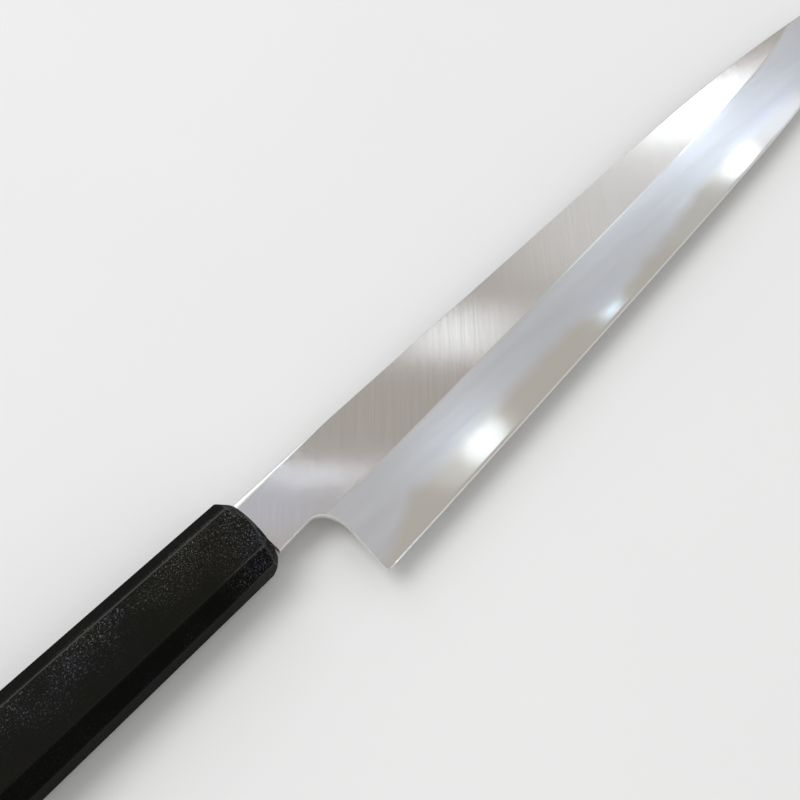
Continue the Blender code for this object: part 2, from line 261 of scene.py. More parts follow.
def aim_lamp(name, place, target, size, power, colour=(1.0, 1.0, 1.0)):
    """Adds a round soft lamp at a place, turned towards a target."""
    data = bpy.data.lights.new(name, "AREA")
    data.shape = "DISK"
    data.size = size
    data.energy = power
    data.color = colour
    lamp = bpy.data.objects.new(name, data)
    lamp.location = place
    lamp.rotation_euler = (target - place).to_track_quat("-Z", "Y").to_euler()
    bpy.context.scene.collection.objects.link(lamp)


aim_lamp("broad_lamp", KEY_PLACE, Vector((0.0, 0.0, 0.0)), KEY_SIZE, KEY_POWER)
print("broad lamp:", KEY_SIZE, "metres wide,", KEY_POWER, "watts")

# %% [markdown]
# ## The knife's own axes
# It is easier to draw a knife along itself: X from the handle's front face to the tip, Y up to the spine,
# Z out of the right face. The handle is thicker at its butt, so a knife that lies on the handle's flat
# leans by a small angle. One matrix turns the knife's axes into the row frame.

# %% Sizes of the knife
BLADE_LENGTH = 0.272
HEEL_HEIGHT = 0.036
TIP_DROP = 0.0074
SPINE_STRAIGHT = 0.150
SPINE_CURVE_POWER = 2.25
EDGE_SWEEP = 0.0101
EDGE_SWEEP_POWER = 1.13
BELLY_POWER = 11.5
NECK_LENGTH = 0.015
NECK_HEIGHT = 0.0157
NECK_WAIST = 0.0005
ARCH_REACH = 0.0050
ARCH_DROP = 0.0077
CHOIL_LEAN = 0.0011
NECK_THICKNESS = 0.0026
NECK_SPINE_ROUND = 0.0020
SPINE_ROUND = 0.0005
SPINE_ROUND_FADE = 0.030
NECK_ROUND = 0.0002
CHOIL_ROUND = 0.00015
TIP_THICKNESS = 0.0015
FACE_THINNING = 0.004
BEVEL_WIDTH = 0.0187
BEVEL_BULGE = 0.00002
EDGE_BEVEL_WIDTH = 0.0004
EDGE_BEVEL_THICKNESS = 0.00022
TANG_LENGTH = 0.098
TANG_HEIGHT = 0.0084
TANG_END_HEIGHT = 0.0052
TANG_THICKNESS = 0.0024
TANG_END_THICKNESS = 0.0016
TANG_CORNER = 0.0004
HANDLE_LENGTH = 0.142
FERRULE_LENGTH = 0.028
FRONT_HEIGHT = 0.01915
FRONT_WIDTH = 0.0173
HEIGHT_GROWTH = 0.0013
WIDTH_GROWTH = 0.0010
CORNER_HEIGHT = 0.0037
CORNER_WIDTH = 0.0041
HANDLE_SINK = 0.00025
FRONT_FACE_MARGIN = 0.0004
BUTT_FACE_INSET = 0.0006

TIP_X = NECK_LENGTH + BLADE_LENGTH
HANDLE_CENTRE_Y = -NECK_HEIGHT / 2 - HANDLE_SINK
lean = math.atan(WIDTH_GROWTH / 2 / HANDLE_LENGTH)
top_y = HANDLE_CENTRE_Y + (FRONT_HEIGHT + HEIGHT_GROWTH) / 2
middle = Vector(((TIP_X - HANDLE_LENGTH) / 2, (top_y - HEEL_HEIGHT) / 2, -FRONT_WIDTH / 2 * math.cos(lean)))
lay_down = Matrix.Translation(-middle) @ Matrix.Rotation(lean, 4, "Y")


def laid(x, y=0.0):
    """The place in the row frame of a point on the knife's middle plane."""
    return lay_down @ Vector((x, y, 0.0))


print("tip in the row frame:", [round(c, 4) for c in laid(TIP_X, -TIP_DROP)])

# %% [markdown]
# ## The blade's shape
# A smith grinds this blade in two planes on each side: a nearly flat face below the spine, and a wide bevel
# that runs straight to the edge. A ridge parts them at the same height above the edge all along. So the
# blade is best described by formulas for its spine, its edge and its thickness. Cross-sections that follow
# the formulas are then skinned, which keeps the ridge a true line.

# %% Outline and thickness


def mix(a, b, share):
    """The value that lies at a share of the way from a to b."""
    return a + (b - a) * share


def clamp(value, low, high):
    """The value, kept between low and high."""
    return max(low, min(high, value))


def spine_y(x):
    """Height of the spine: straight at first, then falling gently to the tip."""
    start = NECK_LENGTH + SPINE_STRAIGHT
    share = max(0.0, (x - start) / (TIP_X - start))
    return -TIP_DROP * share**SPINE_CURVE_POWER


def edge_y(x):
    """Height of the cutting edge: a long, nearly straight sweep, and a belly that turns up to the tip."""
    share = clamp((x - NECK_LENGTH) / BLADE_LENGTH, 0.0, 1.0)
    belly_rise = HEEL_HEIGHT - TIP_DROP - EDGE_SWEEP
    return -HEEL_HEIGHT + EDGE_SWEEP * share**EDGE_SWEEP_POWER + belly_rise * share**BELLY_POWER


def half_thickness(x, y):
    """Half the blade's thickness: a flat face from the spine to the ridge, then a bevel to the edge."""
    at_spine = mix(NECK_THICKNESS, TIP_THICKNESS, clamp(x / TIP_X, 0.0, 1.0)) / 2
    above_edge = y - edge_y(x)
    if above_edge >= BEVEL_WIDTH:
        return at_spine - FACE_THINNING * (spine_y(x) - y)
    at_ridge = at_spine - FACE_THINNING * (spine_y(x) - edge_y(x) - BEVEL_WIDTH)
    share = (above_edge - EDGE_BEVEL_WIDTH) / (BEVEL_WIDTH - EDGE_BEVEL_WIDTH)
    if share < 0:
        return max(0.0, EDGE_BEVEL_THICKNESS / 2 * above_edge / EDGE_BEVEL_WIDTH)
    bulge = 4 * BEVEL_BULGE * share * (1 - share)
    return mix(EDGE_BEVEL_THICKNESS / 2, at_ridge, share) + bulge


MEASURED_PLACES = (0.02, 0.10, 0.20, 0.27)

for x in MEASURED_PLACES:
    height = spine_y(x) - edge_y(x)
    thick = 2 * half_thickness(x, spine_y(x))
    print("at x = %.2f m: %.1f mm high, %.2f mm thick at the spine" % (x, height * 1000, thick * 1000))

# %% [markdown]
# ## Small lamps for the steel
# Steel shows mostly what it mirrors. The bright patches on the bevel and the bright bands across the
# brushed face are small lamps. Each stands where a mirror lying at a chosen spot of the blade would show it
# to the camera, so it is enough to name the spot. The lamps are weak and hardly light the floor.

# %% Lamps that the steel mirrors
LAMP_DISTANCE = 1.2
SLOPE_STEP = 0.0003
COOL_LIGHT = (0.76, 0.88, 1.0)
SKY_LIGHT = (0.50, 0.74, 1.0)
BLUE_LIGHT = (0.30, 0.50, 1.0)
LILAC_LIGHT = (0.64, 0.75, 1.0)
MIRRORED_LAMPS = {
    "bevel_lamp_near": {"x": 0.0557, "above_edge": 0.0041, "size": 0.078, "power": 0.0190},
    "bevel_glow_near": {"x": 0.0505, "above_edge": 0.0082, "size": 0.150, "power": 0.0165},
    "bevel_lamp_middle": {"x": 0.1115, "above_edge": 0.0030, "size": 0.030, "power": 0.0058},
    "bevel_lamp_far": {"x": 0.1876, "above_edge": 0.0030, "size": 0.056, "power": 0.0170},
    "bevel_lamp_high": {"x": 0.1842, "above_edge": 0.0128, "size": 0.115, "power": 0.0205},
    "bevel_lamp_tip": {"x": 0.2150, "above_edge": 0.0043, "size": 0.090, "power": 0.0215},
    "bevel_glow_far": {"x": 0.1720, "above_edge": 0.0040, "size": 0.220, "power": 0.0120},
    "face_lamp_near": {"x": 0.0195, "above_edge": 0.0280, "size": 0.022, "power": 0.0225},
    "face_lamp_low": {"x": 0.0070, "above_edge": 0.0320, "size": 0.130, "power": 0.0320},
    "face_lamp_middle": {"x": 0.0728, "above_edge": 0.0286, "size": 0.090, "power": 0.0680},
    "face_lamp_soft": {"x": 0.1360, "above_edge": 0.0300, "size": 0.280, "power": 0.1150},
    "face_lamp_far": {"x": 0.1957, "above_edge": 0.0240, "size": 0.084, "power": 0.1380},
    "ridge_lamp": {"x": 0.1840, "above_edge": 0.0187, "size": 0.055, "power": 0.0230},
    "spine_lamp": {"x": -0.0230, "above_edge": 0.0355, "tilt": 16.0, "size": 0.700, "power": 1.3500},
    "rim_lamp": {"x": 0.0020, "above_edge": 0.0203, "tilt": -20.0, "size": 0.140, "power": 0.2500},
}
LAMP_COLOURS = {
    "bevel_lamp_middle": SKY_LIGHT,
    "bevel_lamp_tip": LILAC_LIGHT,
    "bevel_glow_far": SKY_LIGHT,
    "face_lamp_low": BLUE_LIGHT,
}


def blade_normal(x, y):
    """Direction that the blade's right face looks in at a point, in the knife's axes."""
    along = half_thickness(x + SLOPE_STEP, y) - half_thickness(x - SLOPE_STEP, y)
    up = half_thickness(x, y + SLOPE_STEP) - half_thickness(x, y - SLOPE_STEP)
    return Vector((-along, -up, 2 * SLOPE_STEP)).normalized()


def place_mirrored_lamp(name, x, above_edge, size, power, tilt=0.0):
    """Adds a lamp that the camera sees mirrored at a spot of the blade; tilt leans the mirror's normal."""
    y = edge_y(x) + above_edge
    spot = lay_down @ Vector((x, y, half_thickness(x, y)))
    leaned = Matrix.Rotation(math.radians(-tilt), 3, "X") @ blade_normal(x, y)
    normal = lay_down.to_3x3() @ leaned
    to_camera = (Vector(CAMERA_PLACE) - spot).normalized()
    outward = 2 * to_camera.dot(normal) * normal - to_camera
    place = spot + outward * LAMP_DISTANCE
    aim_lamp(name, place, spot, size, power, LAMP_COLOURS.get(name, COOL_LIGHT))
    print(name, "at", [round(c, 3) for c in place])


for name, lamp in MIRRORED_LAMPS.items():
    place_mirrored_lamp(name, **lamp)

# %% [markdown]
# ## Rows of one cross-section
# Each section is a list of rows from the spine down to the lower outline. The spine, the neck and the
# finger arch have a rounded rim, because a hand touches them. The cutting edge has its small steep bevel
# instead. Every section has as many rows of each kind, so that neighbours join as clean four-sided faces.
# A flank row close beside each rounding keeps the flat steel next to it flat in its shading.

# %% Rows of a section
RIM_STEPS = 8
FACE_ROWS = 9
RIDGE_ROWS = 2
BEVEL_ROWS = 9
MIDDLE_ROWS = FACE_ROWS + RIDGE_ROWS + BEVEL_ROWS
EDGE_ROWS_REACH = 0.28
EDGE_ROWS_POWER = 1.4
SMALL_BEVEL_SHARE = 0.06
LEAST_SPREAD = 0.08
ROUND_SHARE = 0.3
CREASE_MARGIN = 0.03
RIDGE_ROUND = 0.00024
FLANK = 0.00006
BISECTIONS = 40


def rim_rows(start, inward, reach, half):
    """Rows from an outline point inwards, over a rounded rim that ends at the full half thickness."""
    rows = []
    for step in range(RIM_STEPS + 1):
        angle = math.pi / 2 * step / RIM_STEPS
        point = start + inward * (reach * (1 - math.cos(angle)))
        rows.append(Vector((point.x, point.y, half * math.sin(angle))))
    return rows


def edge_rows(lower, direction, length):
    """Rows from the sharp edge inwards: the edge, its small bevel, and the first rows of the wide bevel."""
    small = min(EDGE_BEVEL_WIDTH, length * SMALL_BEVEL_SHARE)
    spread = clamp((lower.x - NECK_LENGTH) / BEVEL_WIDTH, LEAST_SPREAD, 1.0)
    wide = min(BEVEL_WIDTH, length) * spread * EDGE_ROWS_REACH
    count = RIM_STEPS - 1
    steps = range(1, count + 1)
    depths = [0.0, small] + [small + wide * (step / count) ** EDGE_ROWS_POWER for step in steps]
    rows = []
    for depth in depths:
        point = lower + direction * depth
        rows.append(Vector((point.x, point.y, half_thickness(point.x, point.y))))
    rows[0].z = 0.0
    return rows


def ridge_share(low, high):
    """Share of the way from low to high at which a section crosses the ridge."""
    below, above = 0.0, 1.0
    for _ in range(BISECTIONS):
        halfway = (below + above) / 2
        point = low.lerp(high, halfway)
        if point.y - edge_y(point.x) < BEVEL_WIDTH:
            below = halfway
        else:
            above = halfway
    return clamp(above, CREASE_MARGIN, 1 - CREASE_MARGIN)


def blade_section(upper_x, lower, inward):
    """Rows from the spine to the lower outline; inward is None where that is the sharp edge."""
    upper = Vector((upper_x, spine_y(upper_x)))
    span = upper - lower
    spine_round = mix(NECK_SPINE_ROUND, SPINE_ROUND, clamp(upper.x / SPINE_ROUND_FADE, 0.0, 1.0))
    reach = min(spine_round, ROUND_SHARE * span.length)
    top_rows = rim_rows(upper, Vector((0, -1)), reach, half_thickness(upper.x, upper.y - reach))
    if inward is None:
        low_rows = edge_rows(lower, span.normalized(), span.length)
    else:
        low_reach = mix(NECK_ROUND, CHOIL_ROUND, clamp(lower.x / NECK_LENGTH, 0.0, 1.0))
        inner = lower + inward * low_reach
        low_rows = rim_rows(lower, inward, low_reach, half_thickness(inner.x, inner.y))
    high = top_rows[-1].to_2d()
    low = low_rows[-1].to_2d()
    ridge = ridge_share(low, high)
    rounding = RIDGE_ROUND / (high - low).length
    flank = FLANK / (high - low).length
    face_end, bevel_start = ridge + rounding + flank, ridge - rounding - flank
    shares = [mix(1 - flank, face_end, row / (FACE_ROWS - 1)) for row in range(FACE_ROWS)]
    shares += [ridge + rounding, ridge - rounding]
    shares += [mix(bevel_start, flank, row / (BEVEL_ROWS - 1)) for row in range(BEVEL_ROWS)]
    middle_rows = []
    for share in shares:
        point = low.lerp(high, share)
        middle_rows.append(Vector((point.x, point.y, half_thickness(point.x, point.y))))
    return top_rows + middle_rows + low_rows[::-1]


def tang_section(x):
    """Rows of the tang's flat bar, as many as the blade's sections have."""
    share = clamp(-x / TANG_LENGTH, 0.0, 1.0)
    half_height = mix(TANG_HEIGHT, TANG_END_HEIGHT, share) / 2
    half = mix(TANG_THICKNESS, TANG_END_THICKNESS, share) / 2
    top_rows = rim_rows(Vector((x, HANDLE_CENTRE_Y + half_height)), Vector((0, -1)), TANG_CORNER, half)
    low_rows = rim_rows(Vector((x, HANDLE_CENTRE_Y - half_height)), Vector((0, 1)), TANG_CORNER, half)
    steps = MIDDLE_ROWS + 1
    middle_rows = [top_rows[-1].lerp(low_rows[-1], step / steps) for step in range(1, steps)]
    return top_rows + middle_rows + low_rows[::-1]


print("rows in a section:", len(tang_section(0.0)))

# %% [markdown]
# ## Skinning the blade
# The sections run from the tang's end over the neck, fan out round the finger arch, and then follow the
# edge, closer and closer towards the tip. Each face is given one of five finishes by the row it lies in:
# brushed face, misty bevel, polished rim, sharpened edge or ridge. The ridge is rounded by a hair's
# breadth, and the small bevel's upper line is marked sharp, so that the light breaks there.

# %% Sections of the blade
TANG_STEPS = 8
NECK_STEPS = 8
ARCH_STEPS = 28
CHOIL_STEPS = 16
EDGE_STEPS = 120
EDGE_CROWDING = 1.6
FAN_SPREAD = 0.8
SHOULDER_GAP = 0.0012


def finger_arch():
    """Lower outline from the neck's end to just above the heel, as (point, direction into the steel)."""
    waist_y = -NECK_HEIGHT + NECK_WAIST
    centre = Vector((NECK_LENGTH + CHOIL_LEAN - ARCH_REACH, waist_y - ARCH_DROP))
    outline = []
    for step in range(ARCH_STEPS + 1):
        angle = math.pi / 2 * (1 - step / ARCH_STEPS)
        point = centre + Vector((ARCH_REACH * math.cos(angle), ARCH_DROP * math.sin(angle)))
        inward = Vector((math.cos(angle) / ARCH_REACH, math.sin(angle) / ARCH_DROP)).normalized()
        outline.append((point, inward))
    arch_end = outline[-1][0]
    heel = Vector((NECK_LENGTH, -HEEL_HEIGHT))
    run = (heel - arch_end).normalized()
    for step in range(1, CHOIL_STEPS):
        outline.append((arch_end.lerp(heel, step / CHOIL_STEPS), Vector((-run.y, run.x))))
    return outline


def blade_sections():
    """All sections, from the tang's end to the last one before the tip."""
    tang_places = [mix(-TANG_LENGTH, SHOULDER_GAP, step / TANG_STEPS) for step in range(TANG_STEPS + 1)]
    sections = [tang_section(x) for x in tang_places]
    arch = finger_arch()
    arch_start = arch[0][0]
    for step in range(NECK_STEPS):
        share = step / NECK_STEPS
        x = mix(SHOULDER_GAP, arch_start.x, share)
        lower = Vector((x, mix(-NECK_HEIGHT, arch_start.y, share)))
        sections.append(blade_section(x, lower, Vector((0, 1))))
    fan_end_x = NECK_LENGTH + FAN_SPREAD * HEEL_HEIGHT
    for index, (point, inward) in enumerate(arch):
        sections.append(blade_section(mix(arch_start.x, fan_end_x, index / len(arch)), point, inward))
    for step in range(EDGE_STEPS):
        share = 1 - (1 - step / EDGE_STEPS) ** EDGE_CROWDING
        x = mix(NECK_LENGTH, TIP_X, share)
        sections.append(blade_section(mix(fan_end_x, TIP_X, share), Vector((x, edge_y(x))), None))
    return sections


sections = blade_sections()
first_edge_section = len(sections) - EDGE_STEPS
print("sections:", len(sections), "of which on the edge:", EDGE_STEPS)

# %% Skin of the blade
FACE_FINISH, BEVEL_FINISH, RIM_FINISH, EDGE_FINISH, RIDGE_FINISH = range(5)
RIDGE_ROW = RIM_STEPS + 1 + FACE_ROWS
LOWER_RIM_ROW = RIDGE_ROW + RIDGE_ROWS + BEVEL_ROWS
ROW_COUNT = len(sections[0])
SMALL_BEVEL_ROW = ROW_COUNT - 2


def crosses_ridge(section):
    """True where a section reaches below the ridge."""
    lowest = section[-1]
    return lowest.y - edge_y(lowest.x) < BEVEL_WIDTH


def finish_of(row, on_edge, has_bevel):
    """The finish of the faces below one row of a section."""
    if row < RIM_STEPS:
        return RIM_FINISH
    if row == RIDGE_ROW and has_bevel:
        return RIDGE_FINISH
    if row < RIDGE_ROW or (row < LOWER_RIM_ROW and not has_bevel):
        return FACE_FINISH
    if row < LOWER_RIM_ROW:
        return BEVEL_FINISH
    if not on_edge:
        return RIM_FINISH
    return EDGE_FINISH if row == SMALL_BEVEL_ROW else BEVEL_FINISH


def close_mesh(name, mesh):
    """A new object from a closed mesh whose faces look outwards, laid down with the knife."""
    bmesh.ops.recalc_face_normals(mesh, faces=mesh.faces)
    if mesh.calc_volume(signed=True) < 0:
        bmesh.ops.reverse_faces(mesh, faces=mesh.faces)
    data = bpy.data.meshes.new(name)
    mesh.to_mesh(data)
    mesh.free()
    data.transform(lay_down)
    piece = bpy.data.objects.new(name, data)
    bpy.context.scene.collection.objects.link(piece)
    return piece


def skin_blade():
    """The blade's closed mesh, with a finish for each face and each point's height above the edge."""
    mesh = bmesh.new()
    height_layer = mesh.verts.layers.float.new("above_edge")
    loops = []
    for section in sections:
        points = section + [Vector((row.x, row.y, -row.z)) for row in section[-2:0:-1]]
        loop = []
        for point in points:
            vertex = mesh.verts.new(point)
            vertex[height_layer] = point.y - edge_y(point.x)
            loop.append(vertex)
        loops.append(loop)
    size = len(loops[0])
    for number, (first, second) in enumerate(zip(loops, loops[1:])):
        on_edge = number >= first_edge_section
        has_bevel = crosses_ridge(sections[number])
        for index in range(size):
            after = (index + 1) % size
            face = mesh.faces.new((first[index], first[after], second[after], second[index]))
            row = min(index, size - 1 - index)
            face.material_index = finish_of(row, on_edge, has_bevel)
            face.smooth = True
    mesh.faces.new(loops[0])
    tip = mesh.verts.new((TIP_X, -TIP_DROP, 0.0))
    last = loops[-1]
    for index, vertex in enumerate(last):
        face = mesh.faces.new((vertex, last[(index + 1) % size], tip))
        row = min(index, size - 1 - index)
        face.material_index = finish_of(row, True, True)
        face.smooth = True
    sharpen_lines(mesh, loops)
    return close_mesh("forged_blade", mesh)


def sharpen_lines(mesh, loops):
    """Marks the small bevel's upper line, the cutting edge and the shoulder as crisp."""
    size = len(loops[0])
    edge_loops = loops[first_edge_section:]
    for first, second in zip(edge_loops, edge_loops[1:]):
        for index in (SMALL_BEVEL_ROW, ROW_COUNT - 1, size - SMALL_BEVEL_ROW):
            mesh.edges.get((first[index], second[index])).smooth = False
    shoulder_loops = loops[TANG_STEPS:TANG_STEPS + 2]
    for loop in shoulder_loops:
        for index, vertex in enumerate(loop):
            mesh.edges.get((vertex, loop[(index + 1) % size])).smooth = False


blade = skin_blade()
print("blade:", len(blade.data.vertices), "points,", len(blade.data.polygons), "faces")

# %% [markdown]
# ## The brushed face
# Above the ridge the steel is brushed at a slant, from the spine down towards the heel. Such a surface
# throws light across its scratches, so a small lamp becomes a band. The Principled shader's anisotropy
# does this. Its tangent lies across the scratches, and turns a little from scratch to scratch, which
# feathers the bands. Brush lines add the visible streaks on top.

# %% Material: brushed steel
BRUSH_ANGLE = math.radians(43.0)
BRUSH_WANDER = 0.10
BRUSH_WAVES = 0.006
FACE_TONES = ((0.510, 0.470, 0.435), (0.545, 0.505, 0.470))
FACE_ROUGHNESS = (0.140, 0.180)
ALONG_BRUSH = Vector((math.cos(BRUSH_ANGLE), math.sin(BRUSH_ANGLE), 0.0))
ACROSS_BRUSH = Vector((-math.sin(BRUSH_ANGLE), math.cos(BRUSH_ANGLE), 0.0))


def swing(tree, amount, direction, middle):
    """A vector that swings about its middle one along a direction, by an amount from 0 to 1."""
    node = add_node(tree, "ShaderNodeVectorMath", operation="MULTIPLY_ADD")
    chain(tree, (amount, node.inputs[0]))
    node.inputs[1].default_value = direction
    node.inputs[2].default_value = middle - direction / 2
    return node.outputs["Vector"]


def brushed_steel():
    """Satin steel with slanting scratches."""
    material, tree, shader = new_material("brushed_face", Metallic=1.0, Anisotropic=0.92)
    lines = use_group(tree, brush_lines, Angle=-BRUSH_ANGLE, Lines_Per_Metre=2600.0, Stretch=50.0)
    strokes = use_group(tree, brush_lines, Angle=-BRUSH_ANGLE, Lines_Per_Metre=3600.0, Stretch=90.0)
    relief = add_bump(tree, shader, lines, strength=0.25, distance=0.000004)
    waves = swing(tree, strokes, ALONG_BRUSH * BRUSH_WAVES, Vector())
    total = add_node(tree, "ShaderNodeVectorMath", operation="ADD")
    unit = add_node(tree, "ShaderNodeVectorMath", operation="NORMALIZE")
    chain(
        tree,
        (mix_values(tree, lines, *FACE_TONES), shader.inputs["Base Color"]),
        (map_value(tree, strokes, *FACE_ROUGHNESS), shader.inputs["Roughness"]),
        (swing(tree, lines, ALONG_BRUSH * BRUSH_WANDER, ACROSS_BRUSH), shader.inputs["Tangent"]),
        (waves, total.inputs[0]),
        (relief, total.inputs[1]),
        (total.outputs["Vector"], unit.inputs[0]),
        (unit.outputs["Vector"], shader.inputs["Normal"]),
    )
    return material


blade.data.materials.append(brushed_steel())
print("finish:", blade.data.materials[FACE_FINISH].name)

# %% [markdown]
# ## The misty bevel
# Below the ridge the soft cladding is rubbed to a haze, and the hard core shows as a clearer strip along
# the edge. Forge-welding leaves the line between them wandering. The height above the edge, kept on each
# point of the mesh, gives the strip. A slow noise moves its border, and so does a long wave from its first
# crest on. The strip narrows towards the heel's corner, and a soft step makes the border misty.

# %% Material: misty steel
CORE_SHARE = 0.32
CORE_WAVE = 0.10
CORE_WAVE_LENGTH = 0.104
CORE_WAVE_CREST = 0.078
CORE_WANDER = 0.14
CORE_SOFTNESS = 0.10
HEEL_TAPER = 0.018
HEEL_CORE = 0.20
CLADDING_TONES = ((0.605, 0.609, 0.634), (0.655, 0.660, 0.683))
CLADDING_ROUGHNESS = (0.155, 0.195)
CORE_TONE = (0.61, 0.58, 0.53)
CORE_ROUGHNESS = 0.085


def core_mask(tree):
    """1 on the hard core near the edge, 0 on the cladding, with a wandering, misty border."""
    height = add_node(tree, "ShaderNodeAttribute", attribute_name="above_edge")
    place = add_node(tree, "ShaderNodeTexCoord")
    parts = add_node(tree, "ShaderNodeSeparateXYZ")
    along = add_node(tree, "ShaderNodeCombineXYZ")
    wander = add_node(tree, "ShaderNodeTexNoise", {"Scale": 60.0, "Detail": 2.5})
    x = parts.outputs["X"]
    chain(
        tree,
        (place.outputs["Object"], parts.inputs["Vector"]),
        (x, along.inputs["X"]),
        (along.outputs["Vector"], wander.inputs["Vector"]),
    )
    crest_x = laid(CORE_WAVE_CREST).x
    turn = map_value(tree, x, 0.0, 2 * math.pi, crest_x, crest_x + CORE_WAVE_LENGTH, keep_inside=False)
    wave = calculate(tree, "COSINE", calculate(tree, "MAXIMUM", turn, 0.0))
    level = map_value(tree, wander.outputs["Fac"], CORE_SHARE - CORE_WANDER, CORE_SHARE + CORE_WANDER)
    border = calculate(tree, "ADD", calculate(tree, "MULTIPLY", wave, CORE_WAVE), level)
    heel_x = laid(NECK_LENGTH).x
    taper = map_value(tree, x, HEEL_CORE, 1.0, heel_x, heel_x + HEEL_TAPER)
    share = calculate(tree, "DIVIDE", height.outputs["Fac"], BEVEL_WIDTH)
    depth = calculate(tree, "SUBTRACT", calculate(tree, "MULTIPLY", border, taper), share)
    return map_value(tree, depth, 0.0, 1.0, -CORE_SOFTNESS, CORE_SOFTNESS)


def misty_steel():
    """Hazy cladding over a clearer core."""
    material, tree, shader = new_material("misty_bevel", Metallic=1.0)
    core = core_mask(tree)
    haze = use_group(tree, brush_lines, Angle=0.03, Lines_Per_Metre=240.0, Stretch=14.0, Seed=3.0)
    rubs = use_group(tree, brush_lines, Angle=0.04, Lines_Per_Metre=800.0, Stretch=12.0, Seed=4.0)
    lines = use_group(tree, brush_lines, Angle=0.05, Lines_Per_Metre=9000.0, Stretch=25.0, Seed=5.0)
    cladding = mix_values(tree, haze, *CLADDING_TONES)
    cladding_rough = map_value(tree, rubs, *CLADDING_ROUGHNESS)
    chain(
        tree,
        (mix_values(tree, core, cladding, CORE_TONE), shader.inputs["Base Color"]),
        (mix_values(tree, core, cladding_rough, CORE_ROUGHNESS, "FLOAT"), shader.inputs["Roughness"]),
    )
    add_bump(tree, shader, lines, strength=0.1, distance=0.000002)
    return material


blade.data.materials.append(misty_steel())
print("finish:", blade.data.materials[BEVEL_FINISH].name)

# %% [markdown]
# ## Polished rims and the sharpened edge
# The spine, the neck's underside and the finger arch are rounded and buffed, so they carry a thin bright
# line. The small bevel at the very edge comes straight from the finest stone. The ridge is only rubbed in
# passing and is as dark as the steel beside it. All are clear steel, with lines so fine that they only
# soften the mirror.

# %% Materials: polished steel
TONE_SPREAD = 1.1
TONE_WARMTH = 0.01


def even_finish(name, pattern, tones, roughness, strength, distance, metallic=0.0):
    """A material whose colour, roughness and relief all follow one pattern, given as (group, values)."""
    material, tree, shader = new_material(name, Metallic=metallic)
    group, values = pattern
    amount = use_group(tree, group, **values)
    chain(
        tree,
        (mix_values(tree, amount, *tones), shader.inputs["Base Color"]),
        (map_value(tree, amount, *roughness), shader.inputs["Roughness"]),
    )
    add_bump(tree, shader, amount, strength, distance)
    return material


def polished_steel(name, roughness, angle, seed, tone=0.80):
    """Buffed steel with very fine lines."""
    lines = (brush_lines, {"Angle": angle, "Lines_Per_Metre": 7000.0, "Stretch": 30.0, "Seed": seed})
    tones = [(level, level, level - TONE_WARMTH) for level in (tone, tone * TONE_SPREAD)]
    return even_finish(name, lines, tones, roughness, strength=0.1, distance=0.000003, metallic=1.0)


blade.data.materials.append(polished_steel("polished_rim", (0.16, 0.24), angle=0.0, seed=7.0))
blade.data.materials.append(polished_steel("sharpened_edge", (0.20, 0.26), angle=-BRUSH_ANGLE, seed=9.0))
blade.data.materials.append(polished_steel("rubbed_ridge", (0.09, 0.12), angle=0.0, seed=8.0, tone=0.62))
print("finishes on the blade:", [material.name for material in blade.data.materials])

# %% [markdown]
# ## The handle
# The handle is a long octagon with a short front block and a long rear block under one lacquer. Its ends
# are chamfered on a lathe, so the chamfer is a cone that cuts each facet in a curve. Taking the smaller of
# the octagon's radius and the cone's radius at every point gives that shape, and a soft minimum rounds the
# rim where the two meet. Both blocks are bored for the dowel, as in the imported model.

# %% Octagon and turned ends
CORNER_ROUND = 0.0003
CORNER_POINTS = 5
FACET_SHARES = (0.04, 0.2, 0.4, 0.6, 0.8, 0.96)
RIM_BLEND = 0.00035
FACE_EDGE_ROUND = 0.0003
END_RINGS = 22
END_REACH = 0.0030
BODY_RINGS = 10


def octagon_outline(x):
    """Points round the handle at x, each with its cornerness: 1 in the middle of a corner, 0 off it."""
    share = -x / HANDLE_LENGTH
    half_height = (FRONT_HEIGHT + HEIGHT_GROWTH * share) / 2
    half_width = (FRONT_WIDTH + WIDTH_GROWTH * share) / 2
    quarter = [
        Vector((half_height, half_width - CORNER_WIDTH)),
        Vector((half_height - CORNER_HEIGHT, half_width)),
    ]
    corners = quarter + [Vector((-corner.x, corner.y)) for corner in quarter[::-1]]
    corners += [-corner for corner in corners]
    points = []
    for index, corner in enumerate(corners):
        before, after = corners[index - 1], corners[(index + 1) % len(corners)]
        start = corner + (before - corner).normalized() * CORNER_ROUND
        end = corner + (after - corner).normalized() * CORNER_ROUND
        for step in range(CORNER_POINTS):
            turn = step / (CORNER_POINTS - 1)
            rounded = start.lerp(corner, turn).lerp(corner.lerp(end, turn), turn)
            points.append((rounded, math.sin(math.pi * turn)))
        next_start = after + (corner - after).normalized() * CORNER_ROUND
        points += [(end.lerp(next_start, facet_share), 0.0) for facet_share in FACET_SHARES]
    return points


def soft_min(a, b, blend):
    """The smaller of two lengths, rounded where they meet."""
    overlap = max(blend - abs(a - b), 0.0) / blend
    return min(a, b) - overlap * overlap * blend / 4


def turned_end(radius):
    """Profile of a chamfered end as (distance from the face, radius), from the flat face outwards."""
    inner = Vector((0.0, radius - FACE_EDGE_ROUND))
    corner = Vector((0.0, radius))
    outer = corner + Vector((1, 1)).normalized() * FACE_EDGE_ROUND
    profile = []
    for step in range(CORNER_POINTS):
        turn = step / (CORNER_POINTS - 1)
        profile.append(inner.lerp(corner, turn).lerp(corner.lerp(outer, turn), turn))
    for step in range(1, END_RINGS + 1):
        depth = mix(outer.x, END_REACH, step / END_RINGS)
        profile.append(Vector((depth, radius + depth)))
    return profile


